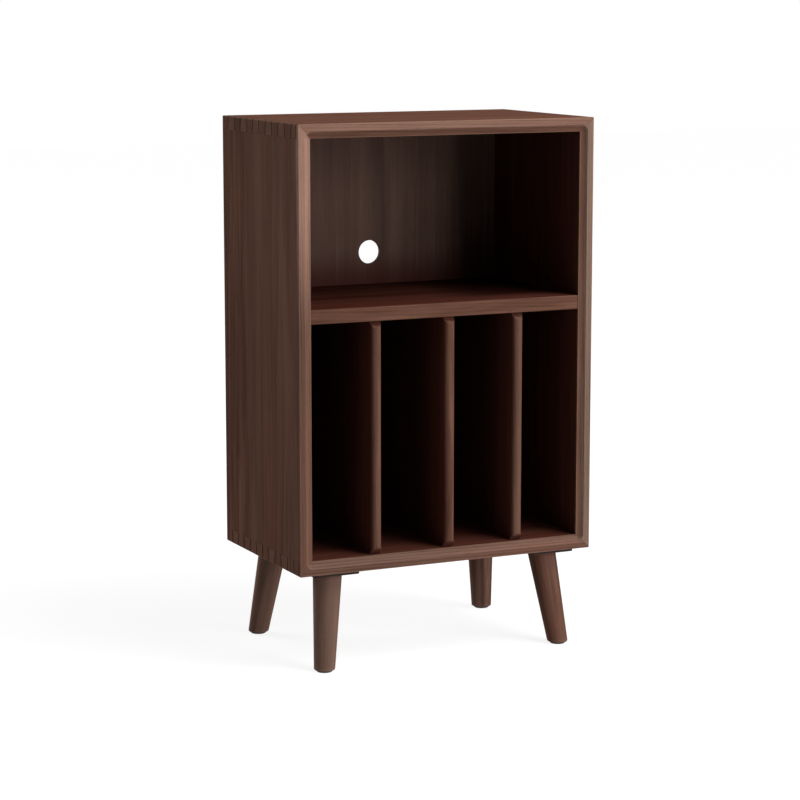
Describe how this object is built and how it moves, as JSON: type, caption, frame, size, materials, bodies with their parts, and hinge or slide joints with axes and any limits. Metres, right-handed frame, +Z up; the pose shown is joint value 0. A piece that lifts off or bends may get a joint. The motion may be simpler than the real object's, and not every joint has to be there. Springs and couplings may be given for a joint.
{
  "type": "record cabinet",
  "caption": "Dovetailed walnut record cabinet with an open upper compartment, a fixed shelf, upright record dividers, a cable hole and splayed tapered legs on metal plates.",
  "frame": {"origin": "on the floor under the middle of the case", "axes": "+Z up, the open front faces -Y, +X to the right of someone who looks at the front"},
  "size_m": [0.55, 0.33, 0.92],
  "materials": {
    "walnut": "oiled solid walnut, straight grain",
    "walnut_panel": "oiled walnut veneered panel",
    "walnut_leg": "oiled turned walnut",
    "dark_plate": "dark brown lacquered steel",
    "zinc_steel": "zinc plated",
    "glide": "dark plastic glide",
    "beech": "plain beech"
  },
  "bodies": {
    "root": {"side_panel_left": "walnut", "side_panel_right": "walnut", "top_board": "walnut", "bottom_board": "walnut", "shelf": "walnut", "divider_left": "walnut", "divider_middle": "walnut", "divider_right": "walnut", "back_panel": "walnut_panel", "leg_front_left": "walnut_leg", "leg_front_right": "walnut_leg", "leg_back_left": "walnut_leg", "leg_back_right": "walnut_leg", "leg_plate_front_left": "dark_plate", "leg_plate_front_right": "dark_plate", "leg_plate_back_left": "dark_plate", "leg_plate_back_right": "dark_plate", "hanger_bolt_front_left": "zinc_steel", "hanger_bolt_front_right": "zinc_steel", "hanger_bolt_back_left": "zinc_steel", "hanger_bolt_back_right": "zinc_steel", "glide_front_left": "glide", "glide_front_right": "glide", "glide_back_left": "glide", "glide_back_right": "glide", "plate_screws": "zinc_steel", "back_panel_screws": "zinc_steel", "shelf_dowels": "beech", "divider_dowels_lower": "beech", "divider_dowels_upper": "beech"}
  },
  "joints": []
}
